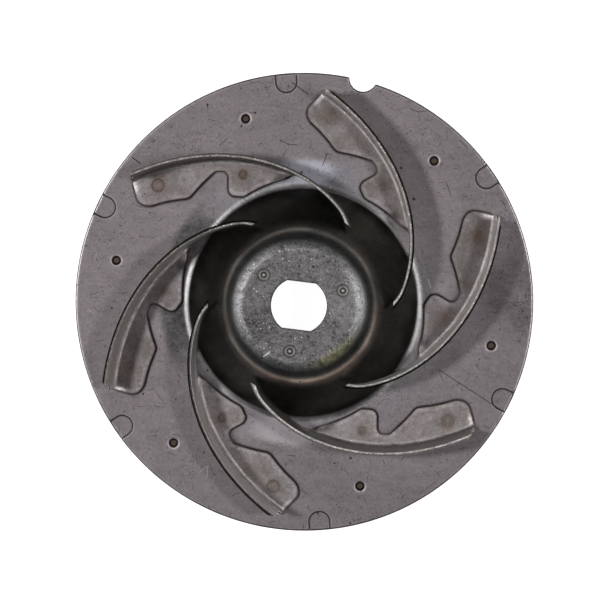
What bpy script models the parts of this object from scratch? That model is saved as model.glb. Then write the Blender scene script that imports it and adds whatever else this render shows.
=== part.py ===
"""Stamped sheet-steel impeller of a centrifugal pump: a pressed disc and six welded vanes.

Metres, +Z up. The disc's back face lies on z = 0, the shaft axis is the Z axis, and the
vanes and the drawn hub stand up from the front face.
"""
import math

import bmesh
import bpy
from mathutils import Matrix, Vector

# Disc, a flat round blank with the hub drawn out of its middle
DISC_RADIUS = 0.060
DISC_SHEET = 0.0015
TURN_STEPS = 96

# Drawn hub: a cone between a concave bend at its foot and a convex one at its top
HUB_HEIGHT = 0.0195
HUB_FOOT_RADIUS = 0.0312
HUB_TOP_RADIUS = 0.0135
HUB_WALL_ANGLE = math.radians(58.1)
HUB_FOOT_BEND = 0.0020
BEND_STEPS = 8

# Bore with two flats, for a shaft turned to 14 mm and flattened to 12 mm
BORE_RADIUS = 0.0070
BORE_HALF_FLATS = 0.0060
BORE_TURN = math.radians(-7)
BORE_ARC_STEPS = 12
TURNED_INNER_RADIUS = 0.0050

# Round dimples punched into the hub's top, and into the disc, one for each rim mark
DISC_DIMPLE_CIRCLE = 0.0503
DISC_DIMPLE_RADIUS = 0.0014
DISC_DIMPLE_ANGLE = math.radians(47.3)
HUB_DIMPLE_COUNT = 3
HUB_DIMPLE_CIRCLE = 0.0117
HUB_DIMPLE_RADIUS = 0.0013
HUB_DIMPLE_ANGLE = math.radians(18.8)
DIMPLE_DEPTH = 0.0005
DIMPLE_TAPER = 0.5
DIMPLE_SIDES = 16

# U-shaped marks coined into the rim, open at the edge
RIM_MARK_COUNT = 6
RIM_MARK_ANGLE = math.radians(34.3)
RIM_MARK_WIDTH = 0.0055
RIM_MARK_LENGTH = 0.0050
RIM_MARK_DEPTH = 0.0004

# Round notch cut through the rim
NOTCH_ANGLE = math.radians(75.0)
NOTCH_RADIUS = 0.0035
NOTCH_CENTRE = 0.0606
CUT_MARGIN = 0.002
SHARP_EDGE = math.radians(30)

# Vanes, L-shaped strips that follow a logarithmic spiral inwards
VANE_COUNT = 6
VANE_SHEET = 0.0010
VANE_HEIGHT = 0.0128
VANE_START_RADIUS = 0.0558
VANE_START_ANGLE = math.radians(143.6)
VANE_SLOPE = math.radians(28.7)
VANE_TIP_RADIUS = 0.05455
VANE_LENGTH = 0.0660
VANE_CURL = 0.0007
VANE_CURL_RUN = 0.0065
VANE_BEND_INSIDE = 0.0011
VANE_STATIONS = 46
VANE_BEND_STEPS = 4
SAME_POINT = 1e-6
VANE_END_CLEARANCE = 0.0006
VANE_END_FADE = 0.006
SEAT_GAP = 0.0003

# Foot of a vane: its free edge, as (run along the wall, distance from the wall, corner radius)
FOOT_EDGE = (
    (0.0000, 0.0050, 0.0),
    (0.0000, 0.0091, 0.0032),
    (0.0139, 0.0105, 0.0035),
    (0.0229, 0.0044, 0.0015),
    (0.0264, 0.0044, 0.0018),
    (0.0266, 0.0107, 0.0022),
    (0.0319, 0.0107, 0.0035),
    (0.0458, 0.0009, 0.0),
)
FOOT_END_START = -0.0002
FOOT_END_SLANT = 0.24
FOOT_END_HEIGHTS = (0.0015, 0.0045)
FOOT_CORNER_STEPS = 4


def clear_scene():
    for obj in list(bpy.data.objects):
        bpy.data.objects.remove(obj, do_unlink=True)


def steel(name, colour, roughness):
    material = bpy.data.materials.new(name)
    material.use_nodes = True
    shader = material.node_tree.nodes["Principled BSDF"]
    shader.inputs["Base Color"].default_value = (*colour, 1.0)
    shader.inputs["Metallic"].default_value = 1.0
    shader.inputs["Roughness"].default_value = roughness
    return material


def add_object(name, mesh, material=None):
    obj = bpy.data.objects.new(name, mesh)
    bpy.context.scene.collection.objects.link(obj)
    if material:
        mesh.materials.append(material)
    return obj


def polar(radius, angle, height=0.0):
    return Vector((radius * math.cos(angle), radius * math.sin(angle), height))


def rounded(corners, steps):
    """Points of an open 2-D outline whose corners (x, y, radius) are rounded by arcs."""
    points = [Vector(corners[0][:2])]
    for before, corner, after in zip(corners, corners[1:], corners[2:]):
        middle = Vector(corner[:2])
        towards = (Vector(before[:2]) - middle).normalized()
        away = (Vector(after[:2]) - middle).normalized()
        half = towards.angle(away) / 2
        reach = corner[2] / math.tan(half)
        centre = middle + (towards + away).normalized() * corner[2] / math.sin(half)
        first = middle + towards * reach - centre
        sweep = first.angle_signed(middle + away * reach - centre)
        for step in range(steps + 1):
            turn = Matrix.Rotation(-sweep * step / steps, 2)
            points.append(centre + turn @ first)
    points.append(Vector(corners[-1][:2]))
    return points


def hub_corners(offset):
    """Corners of the pressed sheet's section, offset below its front face by the given depth."""
    half = HUB_WALL_ANGLE / 2
    run = HUB_HEIGHT / math.tan(HUB_WALL_ANGLE)
    top_bend = (HUB_FOOT_RADIUS - HUB_TOP_RADIUS - run) / math.tan(half) - HUB_FOOT_BEND
    foot = HUB_FOOT_RADIUS - HUB_FOOT_BEND * math.tan(half) - offset * math.tan(half)
    top = HUB_TOP_RADIUS + top_bend * math.tan(half) - offset * math.tan(half)
    base = DISC_SHEET - offset
    return [
        (TURNED_INNER_RADIUS, base + HUB_HEIGHT, 0.0),
        (top, base + HUB_HEIGHT, top_bend - offset),
        (foot, base, HUB_FOOT_BEND + offset),
        (DISC_RADIUS, base, 0.0),
    ]


def hub_height_at(radius):
    """Height of the hub's outside above the disc's front face at a radius."""
    outline = rounded(hub_corners(0.0), BEND_STEPS)
    for inner, outer in zip(outline, outline[1:]):
        if inner.x <= radius <= outer.x:
            share = (radius - inner.x) / (outer.x - inner.x)
            return inner.y + (outer.y - inner.y) * share - DISC_SHEET
    return 0.0


def turned_blank():
    """The disc with its hub as one ring of sheet, turned about the Z axis."""
    front = rounded(hub_corners(0.0), BEND_STEPS)
    back = rounded(hub_corners(DISC_SHEET), BEND_STEPS)
    section = front + back[::-1]
    bm = bmesh.new()
    verts = [bm.verts.new((p.x, 0.0, p.y)) for p in section]
    edges = [bm.edges.new((a, b)) for a, b in zip(verts, verts[1:] + verts[:1])]
    bmesh.ops.spin(
        bm,
        geom=verts + edges,
        cent=(0, 0, 0),
        axis=(0, 0, 1),
        angle=math.tau,
        steps=TURN_STEPS,
        use_merge=True,
    )
    bmesh.ops.recalc_face_normals(bm, faces=bm.faces)
    return bm


def prism(bm, outline, bottom, top):
    """Adds an upright prism over a closed plan outline."""
    lower = [bm.verts.new((p.x, p.y, bottom)) for p in outline]
    face = bm.faces.new(lower)
    extruded = bmesh.ops.extrude_face_region(bm, geom=[face])["geom"]
    upper = [item for item in extruded if isinstance(item, bmesh.types.BMVert)]
    bmesh.ops.translate(bm, verts=upper, vec=(0, 0, top - bottom))


def bore_outline():
    """Circle of the bore, cut off by two flats."""
    half = math.asin(BORE_HALF_FLATS / BORE_RADIUS)
    points = []
    for side in (0.0, math.pi):
        for step in range(BORE_ARC_STEPS + 1):
            angle = side - half + 2 * half * step / BORE_ARC_STEPS
            points.append(polar(BORE_RADIUS, angle + BORE_TURN))
    return points


def rim_mark_outline(angle):
    """A strip that enters from the rim and ends in a half circle."""
    half = RIM_MARK_WIDTH / 2
    centre = DISC_RADIUS - RIM_MARK_LENGTH + half
    turn = Matrix.Rotation(angle, 3, "Z")
    points = [Vector((DISC_RADIUS + CUT_MARGIN, -half, 0)), Vector((DISC_RADIUS + CUT_MARGIN, half, 0))]
    for step in range(BORE_ARC_STEPS + 1):
        points.append(Vector((centre, 0, 0)) + polar(half, math.pi * (0.5 + step / BORE_ARC_STEPS)))
    return [turn @ p for p in points]


def add_dimple(bm, circle, angle, radius, face_height):
    """Adds a tapered cutter that leaves a shallow round dimple in a face."""
    depth = DIMPLE_DEPTH + CUT_MARGIN
    slope = radius * (1 - DIMPLE_TAPER) / DIMPLE_DEPTH
    place = polar(circle, angle, face_height + (CUT_MARGIN - DIMPLE_DEPTH) / 2)
    bmesh.ops.create_cone(
        bm,
        cap_ends=True,
        segments=DIMPLE_SIDES,
        radius1=radius * DIMPLE_TAPER,
        radius2=radius * DIMPLE_TAPER + slope * depth,
        depth=depth,
        matrix=Matrix.Translation(place),
    )


def disc_cutter():
    """All that is cut from the turned blank, as one helper."""
    bm = bmesh.new()
    hub_top = DISC_SHEET + HUB_HEIGHT
    prism(bm, bore_outline(), -CUT_MARGIN, hub_top + CUT_MARGIN)
    sixth = math.tau / RIM_MARK_COUNT
    for index in range(RIM_MARK_COUNT):
        mark = rim_mark_outline(RIM_MARK_ANGLE + index * sixth)
        prism(bm, mark, DISC_SHEET - RIM_MARK_DEPTH, DISC_SHEET + CUT_MARGIN)
        angle = DISC_DIMPLE_ANGLE + index * sixth
        add_dimple(bm, DISC_DIMPLE_CIRCLE, angle, DISC_DIMPLE_RADIUS, DISC_SHEET)
    for index in range(HUB_DIMPLE_COUNT):
        angle = HUB_DIMPLE_ANGLE + index * math.tau / HUB_DIMPLE_COUNT
        add_dimple(bm, HUB_DIMPLE_CIRCLE, angle, HUB_DIMPLE_RADIUS, hub_top)
    notch = [
        polar(NOTCH_CENTRE, NOTCH_ANGLE) + polar(NOTCH_RADIUS, math.tau * step / (2 * BORE_ARC_STEPS))
        for step in range(2 * BORE_ARC_STEPS)
    ]
    prism(bm, notch, -CUT_MARGIN, DISC_SHEET + CUT_MARGIN)
    bmesh.ops.recalc_face_normals(bm, faces=bm.faces)
    mesh = bpy.data.meshes.new("disc_cutter")
    bm.to_mesh(mesh)
    bm.free()
    cutter = add_object("disc_cutter", mesh)
    cutter.hide_render = True
    cutter.display_type = "WIRE"
    return cutter


def build_disc():
    bm = turned_blank()
    mesh = bpy.data.meshes.new("disc")
    bm.to_mesh(mesh)
    bm.free()
    mesh.shade_smooth()
    mesh.set_sharp_from_angle(angle=SHARP_EDGE)
    disc = add_object("disc", mesh, steel("disc_steel", (0.30, 0.29, 0.30), 0.38))
    cut = disc.modifiers.new("openings_and_marks", "BOOLEAN")
    cut.operation = "DIFFERENCE"
    cut.solver = "EXACT"
    cut.object = disc_cutter()


def smooth_share(value, low, high):
    """0 below low, 1 above high, and a smooth rise between them."""
    share = min(1.0, max(0.0, (value - low) / (high - low)))
    return share * share * (3 - 2 * share)


def vane_frame(run):
    """Radius and point on the spiral, and the directions along the wall and square to it, inwards."""
    radius = VANE_START_RADIUS - run * math.sin(VANE_SLOPE)
    turned = math.log(VANE_START_RADIUS / radius) / math.tan(VANE_SLOPE)
    angle = VANE_START_ANGLE - turned
    along = polar(1.0, angle - math.pi / 2 - VANE_SLOPE)
    across = polar(1.0, angle + math.pi - VANE_SLOPE)
    return radius, polar(radius, angle), along, across


def foot_width(run, edge):
    """Distance from the wall's outside to the foot's free edge at a run along the wall."""
    for first, second in zip(edge, edge[1:]):
        if first.x <= run <= second.x and second.x > first.x:
            share = (run - first.x) / (second.x - first.x)
            return max(VANE_SHEET, first.y + (second.y - first.y) * share)
    return VANE_SHEET


def vane_runs(edge):
    """Runs of the cross-sections: the foot edge's own points and even steps between them."""
    pitch = VANE_LENGTH / VANE_STATIONS
    corners = [p.x for p in edge if 0 < p.x < VANE_LENGTH]
    kept = [0.0, VANE_LENGTH]
    for step in range(1, VANE_STATIONS):
        run = step * pitch
        if all(abs(run - x) > pitch / 3 for x in corners):
            kept.append(run)
    return sorted(set(kept + corners))


def end_shift(run, w, z):
    """How far a point of a section moves along the wall, for the slanted ends of wall and foot."""
    foot = FOOT_END_START - FOOT_END_SLANT * w
    to_tip_circle = VANE_START_RADIUS - VANE_TIP_RADIUS - w * math.cos(VANE_SLOPE)
    wall = to_tip_circle / math.sin(VANE_SLOPE)
    outer = foot + (wall - foot) * smooth_share(z, *FOOT_END_HEIGHTS)
    inner = -w / math.tan(VANE_SLOPE)
    outer_share = max(0.0, 1 - run / VANE_END_FADE)
    inner_share = max(0.0, 1 - (VANE_LENGTH - run) / VANE_END_FADE)
    return outer * outer_share + inner * inner_share


def vane_section(run, edge):
    """Points of the L-shaped section at a run, from the wall's top outside round to its top inside."""
    radius, origin, along, across = vane_frame(run)
    width = foot_width(run, edge)
    inside = VANE_BEND_INSIDE
    outside = inside + VANE_SHEET
    spread = min(1.0, (width - VANE_SHEET) / outside)
    curl = VANE_CURL * max(0.0, 1 - (VANE_LENGTH - run) / VANE_CURL_RUN) ** 2
    nearest = radius - (VANE_SHEET + curl) * math.cos(VANE_SLOPE) - VANE_END_CLEARANCE
    lift = hub_height_at(nearest)
    section = [(0.0, VANE_HEIGHT)]
    for step in range(VANE_BEND_STEPS + 1):
        turn = math.pi / 2 * step / VANE_BEND_STEPS
        section.append((outside * spread * (1 - math.cos(turn)), outside * (1 - math.sin(turn))))
    section.append((width, 0.0))
    section.append((width, VANE_SHEET))
    for step in range(VANE_BEND_STEPS + 1):
        turn = math.pi / 2 * (1 - step / VANE_BEND_STEPS)
        reach = min(inside, width - VANE_SHEET)
        section.append((VANE_SHEET + reach * (1 - math.cos(turn)), outside - inside * math.sin(turn)))
    section.append((VANE_SHEET, VANE_HEIGHT))
    points = []
    for w, z in section:
        height = lift + z * (VANE_HEIGHT - lift) / VANE_HEIGHT
        point = origin + across * (w + curl) + along * end_shift(run, w, z)
        points.append(point + Vector((0, 0, height)))
    return points


def vane_mesh():
    """One vane, lofted through its cross-sections."""
    edge = rounded(FOOT_EDGE, FOOT_CORNER_STEPS)
    bm = bmesh.new()
    rings = []
    for run in vane_runs(edge):
        rings.append([bm.verts.new(p) for p in vane_section(run, edge)])
    for ring, following in zip(rings, rings[1:]):
        for index in range(len(ring)):
            after = (index + 1) % len(ring)
            bm.faces.new((ring[index], ring[after], following[after], following[index]))
    bm.faces.new(rings[0])
    bm.faces.new(rings[-1][::-1])
    bmesh.ops.remove_doubles(bm, verts=bm.verts, dist=SAME_POINT)
    bmesh.ops.triangulate(bm, faces=bm.faces)
    bmesh.ops.recalc_face_normals(bm, faces=bm.faces)
    mesh = bpy.data.meshes.new("vane")
    bm.to_mesh(mesh)
    bm.free()
    mesh.shade_smooth()
    mesh.set_sharp_from_angle(angle=SHARP_EDGE)
    return mesh


def build_vanes():
    mesh = vane_mesh()
    mesh.materials.append(steel("vane_steel", (0.36, 0.34, 0.33), 0.34))
    for index in range(VANE_COUNT):
        vane = add_object(f"vane_{index + 1}", mesh)
        vane.location = (0, 0, DISC_SHEET + SEAT_GAP)
        vane.rotation_euler = (0, 0, -index * math.tau / VANE_COUNT)


def main():
    clear_scene()
    build_disc()
    build_vanes()


main()
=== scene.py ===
from collections import Counter
from math import acos, asin, atan2, ceil, cos, hypot, pi, radians, sin, tan, tau

import bpy
import numpy as np
from mathutils import Matrix, Vector
from mathutils.geometry import delaunay_2d_cdt


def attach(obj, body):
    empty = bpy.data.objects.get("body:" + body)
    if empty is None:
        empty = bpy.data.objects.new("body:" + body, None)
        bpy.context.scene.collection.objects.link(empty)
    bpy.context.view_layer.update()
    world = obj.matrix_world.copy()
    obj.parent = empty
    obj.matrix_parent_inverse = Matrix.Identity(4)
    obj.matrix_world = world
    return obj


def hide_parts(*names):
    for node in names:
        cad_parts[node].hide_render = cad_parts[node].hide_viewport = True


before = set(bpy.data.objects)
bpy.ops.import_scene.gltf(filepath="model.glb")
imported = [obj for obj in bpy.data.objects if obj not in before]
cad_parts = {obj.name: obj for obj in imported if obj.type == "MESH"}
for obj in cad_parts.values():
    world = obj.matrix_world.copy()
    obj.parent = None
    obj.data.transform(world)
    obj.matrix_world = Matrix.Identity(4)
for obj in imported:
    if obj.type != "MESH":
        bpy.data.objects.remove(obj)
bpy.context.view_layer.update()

scene = bpy.context.scene
MM = 0.001
# The least that the shading leaves of a colour, on a face and on a sheared edge
DARKEST = 0.15
DARKEST_RIM = 0.2

# Disc and drawn hub
DISC_RADIUS = 60
DISC_SHEET = 1.5
HUB_HEIGHT = 19.5
HUB_FOOT_RADIUS = 30.5
HUB_TOP_RADIUS = 13.5
HUB_WALL_ANGLE = radians(58.1)
HUB_FOOT_BEND = 1.2
HUB_RUN = HUB_HEIGHT / tan(HUB_WALL_ANGLE)
HUB_TOP_BEND = (HUB_FOOT_RADIUS - HUB_TOP_RADIUS - HUB_RUN) / tan(HUB_WALL_ANGLE / 2) - HUB_FOOT_BEND
HUB_TOP_END = HUB_TOP_RADIUS + HUB_TOP_BEND * sin(HUB_WALL_ANGLE)
HUB_FOOT_START = HUB_FOOT_RADIUS - HUB_FOOT_BEND * sin(HUB_WALL_ANGLE)
# The foot's bend runs out gently from this slope
HUB_RUNOUT_ANGLE = radians(20)
HUB_RUNOUT_LENGTH = 1.1

# Bore with two flats
BORE_RADIUS = 7
BORE_HALF_FLATS = 6
BORE_TURN = radians(-7)

# Dimples, rim marks and the notch
COPIES = 6
TURNS = [index * tau / COPIES for index in range(COPIES)]
DIMPLE_CIRCLE = 50.3
DIMPLE_ANGLE = radians(47.3)
DIMPLE_BOTTOM = 0.65
DIMPLE_MOUTH = 1.25
DIMPLE_LIP = 1.8
DIMPLE_DEPTH = 0.55
DIMPLE_LIP_DEPTH = 0.11
HUB_DIMPLE_COUNT = 3
HUB_DIMPLE_CIRCLE = 11.7
HUB_DIMPLE_ANGLE = radians(18.8)
HUB_DIMPLE_GROOVE = 0.85
HUB_DIMPLE_LIP = 1.5
HUB_DIMPLE_DEPTH = 0.45
HUB_DIMPLE_DOME = 0.22
MARK_ANGLE = radians(34.3)
MARK_HALF = 2.72
MARK_LENGTH = 5
MARK_DEPTH = 0.4
MARK_INSIDE = 0.2
MARK_LIP = 0.35
NOTCH_ANGLE = radians(75)
NOTCH_RADIUS = 3.5
NOTCH_CENTRE = 60.6
NOTCH_CORNER = 0.5

# Vanes
VANE_SHEET = 1
VANE_HEIGHT = 12.8
START_RADIUS = 55.8
START_ANGLE = radians(143.6)
VANE_SLOPE = radians(28.7)
VANE_TIP_RADIUS = 54.55
VANE_LENGTH = 66
VANE_CURL = 0.7
VANE_CURL_RUN = 6.5
VANE_END_FADE = 6
BEND_OUTSIDE = 2.1
BEND_MIDDLE = BEND_OUTSIDE - VANE_SHEET / 2
BEND_LENGTH = BEND_MIDDLE * pi / 2
HUB_CLEARANCE = 0.15
SEAT = DISC_SHEET + 0.03
FOOT_EDGE = (
    (0, 9.1, 4),
    (13.9, 10.5, 3.5),
    (22.8, 4.4, 1.5),
    (26.4, 4.4, 1.8),
    (26.6, 10.7, 2.2),
    (31.9, 10.7, 3.5),
    (44, 2.2, 1),
)
FOOT_END_START = -0.2
FOOT_END_SLANT = 0.19
FOOT_END_HEIGHTS = (1.5, 4.5)
STRAIGHT_RUNS = (42.5, 46.5)
# The hub's foot bend pushes the foot's inner tip up, from this radius inwards
TIP_RISE_RADIUS = 35
TIP_RISE_CURVE = 0.3
TIP_RISE_RUNS = (38, 41.5)
# Width of the sheared edges' die roll on the foot's top and on the wall's two faces
FOOT_ROLL = 0.45
CONVEX_ROLL = 0.4
CONCAVE_ROLL = 0.14
RIM_LEVELS = (0.85, 0.7, 0.5, 0.3, 0.15)
EDGE_ROWS = (0.06, 0.13, 0.21, 0.3, 0.4, 0.6)
FOOT_LINE_ROWS = (0.12, 0.26, 0.42, 0.6, 0.85)

# Points of the meshes: steps along outlines, more of them on arcs, rows beside, and rings
RIM_STEP = 0.42
BORE_STEP = 0.3
PATTERN_STEP = 0.38
ARC_DENSITY = 1.6
DISC_EDGE_ROWS = (0.06, 0.14, 0.25, 0.4, 0.6)
DISC_RIM_LEVELS = (0.8, 0.5, 0.2)
DIMPLE_ROWS = (0.28, 0.48, 0.58, 0.68, 0.78, 0.88, 0.98, 1.08, 1.2, 1.33, 1.46, 1.6, 1.75, 1.95)
HUB_DIMPLE_ROWS = (0.15, 0.3, 0.45, 0.6, 0.74, 0.86, 0.97, 1.07, 1.17, 1.27, 1.37, 1.52, 1.8)
MARK_ROWS = (-0.5, -0.3, -0.2, -0.13, -0.05, 0.03, 0.11, 0.19, 0.28, 0.37, 0.6)
WELD_ROWS = (-0.6, -0.4, -0.25, -0.12, 0, 0.12, 0.25, 0.4, 0.65)
# Width and depth of the disc's rolled edge in front and of its burr behind
DISC_ROLL = (0.55, 0.38)
DISC_BURR = (0.12, 0.1)
# How far the mark of an edge reaches inwards, and a distance far from every edge
EDGE_REACH = 0.35
FAR = 9
# Rings up to this radius have fewer points
SMALL_RING = 0.59
# Ring-shaped marks: radius, or distance from a rim mark's line, then width and strength. The dark rings
# in the hub's dimples and in the rim marks' grooves are painted shade; the gleams are painted highlights,
# along the rim marks partly burnish.
HUB_DIMPLE_SHADE = ((0.65, 0.24, 1), (1.5, 0.14, 0.7))
HUB_DIMPLE_GLEAM = ((1.12, 0.19, 0.95), (0, 0.3, 0.9))
MARK_SHADE = ((-0.02, 0.15, 0.95),)
MARK_GLEAM = ((0.36, 0.12, 0.9),)
HEAT_MARKS = ((2.2, 0.9, 1),)
# Where a disc dimple's painted shade begins, its mouth ends and its lip, lighter from burnish and a
# painted highlight, fades
DIMPLE_SHADE_STEP = (0.55, 0.78)
HOLE_STEP = (1.16, 1.28)
LIP_STEP = (1.5, 1.85)
LIP_STRENGTH = 1.6
# Width of the dark line along a foot's outline, dirt and painted contact shadow, and how far from the
# foot's middle it can be
FOOT_LINE_WIDTH = 0.36
FOOT_REACH = 32
# Spot welds: run, distance from the wall's convex face, and radius
WELDS = ((6, 4.9, 1.5), (30.8, 4.8, 1.05))
# Where that dark line is faint: run, distance from the convex face, reach, and loss
FAINT_EDGES = ((-1.3, 5, 4.5, 0.6), (24.3, 4.4, 2.4, 0.75), (42, 3.5, 2, 0.4))
# How strongly the welds show on each vane, as rings and as a burnt patch
WELD_RINGS = (1, 0.15, 0.15, 0.5, 0.7, 0.1)
WELD_STAINS = (0.45, 0.8, 1, 0.7, 0.4, 0.8)
# How strong the painted highlight on the tip of each vane's foot is
TIP_HIGHLIGHTS = (0, 0.2, 1.6, 0.35, 0.3, 1.6)
# How light each vane's foot, wall, bend and upper edge are, and how strong the painted shade along that
# edge's convex corner is. These are painted light and shade, set for how the lights fall on each vane;
# the foot's tone is partly each vane's own.
VANE_TONES = {
    "tone": (1, 1, 0.78, 1.22, 1.1, 0.84),
    "wall_tone": (0.56, 1.65, 1.85, 0.78, 1.85, 1.4),
    "bend_tone": (0.68, 0.88, 1, 0.86, 1.08, 1),
    "rim_tone": (0.88, 0.72, 0.85, 1.4, 0.2, 0.4),
    "burr": (0.35, 1, 1, 0.3, 1, 1),
}

# Scratches on the disc: x and y of both ends, half width, and strength
SCRATCHES = (
    (35.5, -17.4, 52.6, -28.4, 0.14, 0.75),
    (6.3, 38.8, 5.1, 35.7, 0.16, 0.7),
    (5.7, 38.9, 7.6, 38.7, 0.14, 0.7),
    (-44.7, 38, -42.6, 36.4, 0.18, 0.8),
    (-2.8, 57.4, 1.3, 54.4, 0.2, 0.7),
    (27.8, 50.6, 30, 49.6, 0.15, 0.5),
    (30, 49.6, 32.2, 49.9, 0.15, 0.5),
    (40.8, 42.3, 42.6, 40.5, 0.15, 0.5),
    (37.2, 31.6, 38.6, 27.8, 0.14, 0.45),
    (-21.7, 41.2, -19.8, 42.8, 0.15, 0.6),
    (-6, 42.5, -3.8, 41.4, 0.15, 0.6),
    (-3.8, 41.4, -1.6, 41.2, 0.15, 0.55),
    (-39.5, -22.5, -36, -27, 0.12, 0.4),
    (30.5, -50, 35, -46.5, 0.14, 0.35),
)
BRIGHT_SCRATCHES = (
    (-25, -43, -27.2, -44.6, 0.13, 0.6),
    (-25, -43, -25.3, -46, 0.14, 0.7),
    (32.7, 6.2, 33.4, 4, 0.14, 0.7),
    (-8.9, -12.7, -7.3, -11.6, 0.3, 0.8),
    (-55, 10.5, -54.2, 13, 0.1, 0.4),
)


def smooth(value, low, high):
    """0 at low, 1 at high, and a smooth rise between them."""
    share = np.clip((value - low) / (high - low), 0, 1)
    return share * share * (3 - 2 * share)


def bell(value, middle, width):
    """1 at the middle, and close to 0 two widths away."""
    return np.exp(-((value - middle) / width) ** 2)


def turned(points, angle):
    """Plan points turned anticlockwise about the axis."""
    c, s = cos(angle), sin(angle)
    return points @ np.array(((c, s), (-s, c)))


def polar(radius, angle):
    """Plan places from their radius and angle."""
    return np.stack([radius * np.cos(angle), radius * np.sin(angle)], axis=-1)


def ring(centre, radius, count, turn=0):
    """Points of a circle."""
    angles = turn + np.arange(count) * tau / count
    return np.asarray(centre) + polar(radius, angles)


def lengths(vectors):
    """Length of each vector."""
    return np.linalg.norm(vectors, axis=1)


def unit(vector):
    """A vector's direction."""
    return vector / np.linalg.norm(vector)


def rings(away, marks):
    """The strongest of some ring-shaped marks at each distance from their middle."""
    return np.maximum.reduce([strength * bell(away, radius, width) for radius, width, strength in marks])


def target(place, radii):
    """A place, and the points of circles round it."""
    return [place[None]] + [ring(place, radius, 40 if radius > SMALL_RING else 20) for radius in radii]


DIMPLES = ring((0, 0), DIMPLE_CIRCLE, COPIES, DIMPLE_ANGLE)
HUB_DIMPLES = ring((0, 0), HUB_DIMPLE_CIRCLE, HUB_DIMPLE_COUNT, HUB_DIMPLE_ANGLE)


def rounded_loop(corners, step):
    """A closed outline round corners (x, y, radius), with points about a step apart."""
    points = []
    count = len(corners)
    for index, (x, y, radius) in enumerate(corners):
        middle = np.array((x, y))
        towards = unit(np.array(corners[index - 1][:2]) - middle)
        away = unit(np.array(corners[(index + 1) % count][:2]) - middle)
        if radius == 0:
            points.append(middle)
            continue
        half = acos(np.clip(towards @ away, -1, 1)) / 2
        centre = middle + unit(towards + away) * radius / sin(half)
        first = middle + towards * radius / tan(half) - centre
        last = middle + away * radius / tan(half) - centre
        sweep = atan2(first[0] * last[1] - first[1] * last[0], first @ last)
        pieces = max(2, ceil(abs(sweep) * radius / step * ARC_DENSITY))
        points += [centre + turned(first, sweep * piece / pieces) for piece in range(pieces + 1)]
    return even_loop(np.array(points), step)


def even_loop(points, step):
    """Adds points to a closed outline where two are more than a step apart."""
    result = []
    for start, end in zip(points, np.roll(points, -1, axis=0)):
        pieces = max(1, ceil(np.linalg.norm(end - start) / step - 0.2))
        result += [start + (end - start) * piece / pieces for piece in range(pieces)]
    return np.array(result)


def inset(loop, distance):
    """A closed outline moved to its left, inwards where it runs anticlockwise."""
    along = np.roll(loop, -1, axis=0) - np.roll(loop, 1, axis=0)
    along = along / lengths(along)[:, None]
    return loop + np.stack([-along[:, 1], along[:, 0]], axis=1) * distance


def distance_to(loop, points, closed=True):
    """Distance of each point from an outline."""
    ends = np.roll(loop, -1, axis=0) if closed else loop[1:]
    starts = loop if closed else loop[:-1]
    nearest = np.full(len(points), np.inf)
    for start, end in zip(starts, ends):
        way = end - start
        share = np.clip((points - start) @ way / (way @ way), 0, 1)
        gap = points - start - share[:, None] * way
        nearest = np.minimum(nearest, np.einsum("ij,ij->i", gap, gap))
    return np.sqrt(nearest)


def inside(loop, points):
    """True for each point within a closed outline."""
    found = np.zeros(len(points), bool)
    for (x0, y0), (x1, y1) in zip(loop, np.roll(loop, -1, axis=0)):
        crosses = (y0 > points[:, 1]) != (y1 > points[:, 1])
        with np.errstate(divide="ignore", invalid="ignore"):
            found ^= crosses & (points[:, 0] < x0 + (points[:, 1] - y0) * (x1 - x0) / (y1 - y0))
    return found


def triangulate(points, loops):
    """Triangles over the plan points, within the first loop and outside the others."""
    edges = []
    for loop in loops:
        start, count = len(edges), len(loop)
        edges += [(start + i, start + (i + 1) % count) for i in range(count)]
    verts, _, faces, *_ = delaunay_2d_cdt([Vector(p) for p in points], edges, [], 0, 1e-7)
    if len(verts) != len(points):
        raise ValueError("two plan points coincide")
    faces = np.array(faces)
    centres = points[faces].mean(axis=1)
    keep = inside(loops[0], centres)
    for hole in loops[1:]:
        keep &= ~inside(hole, centres)
    return without_slivers(faces[keep], edges)


def without_slivers(faces, edges):
    """Leaves out faces of no width along an outline, where a side meets no other face."""
    outline = {tuple(sorted(edge)) for edge in edges}
    while True:
        sides = [[tuple(sorted(side)) for side in ((a, b), (b, c), (c, a))] for a, b, c in faces.tolist()]
        count = Counter(side for three in sides for side in three)
        kept = np.array([all(count[side] == 2 or side in outline for side in three) for three in sides])
        if kept.all():
            return faces
        faces = faces[kept]


def thin_out(points, others, gap):
    """Leaves out the points nearer than a gap to any of the others."""
    kept = np.ones(len(points), bool)
    for chunk in np.array_split(others, max(1, len(others) // 400)):
        apart = points[:, None, :] - chunk[None, :, :]
        kept &= (np.einsum("ijk,ijk->ij", apart, apart) > gap * gap).all(axis=1)
    return points[kept]


def thin_out_self(points, gap):
    """Leaves out each point nearer than a gap to an earlier one."""
    taken = {}
    kept = []
    for x, y in points:
        cell = (int(x // gap), int(y // gap))
        near = [taken.get((cell[0] + i, cell[1] + j)) for i in (-1, 0, 1) for j in (-1, 0, 1)]
        if all(other is None or hypot(x - other[0], y - other[1]) > gap for other in near):
            taken[cell] = (x, y)
            kept.append((x, y))
    return np.array(kept)


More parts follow.
